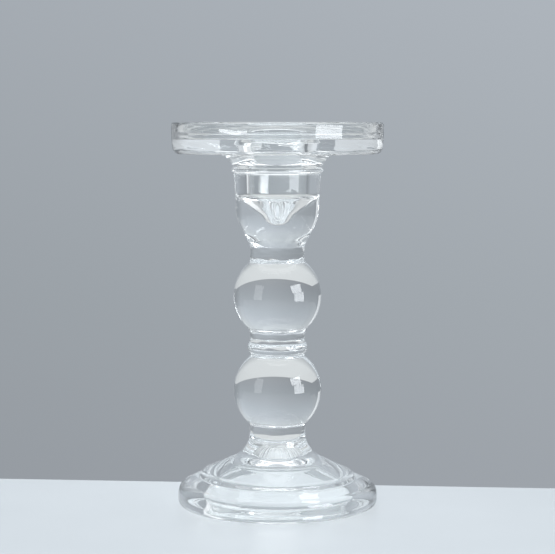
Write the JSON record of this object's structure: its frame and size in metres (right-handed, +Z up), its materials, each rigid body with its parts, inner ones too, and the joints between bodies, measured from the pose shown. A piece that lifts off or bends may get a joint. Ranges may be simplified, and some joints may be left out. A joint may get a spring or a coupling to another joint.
{
  "type": "glass candlestick",
  "caption": "Clear glass candlestick: stepped round foot, ball stem, taper socket under a rimmed pillar plate.",
  "frame": {"origin": "centre of the foot's resting ring, on the table plane", "axes": "+Z up along the stem, from the foot to the pillar plate; the part is round about Z"},
  "size_m": [0.087, 0.087, 0.1582],
  "materials": {
    "clear_glass": "clear fire-polished crystal glass, smooth and glossy"
  },
  "bodies": {
    "root": {"stepped_foot": "clear_glass", "lower_neck": "clear_glass", "lower_ball": "clear_glass", "ring_bead": "clear_glass", "waist_neck": "clear_glass", "upper_ball": "clear_glass", "upper_neck": "clear_glass", "candle_cup": "clear_glass", "plate_collar": "clear_glass", "pillar_plate": "clear_glass"}
  },
  "joints": []
}
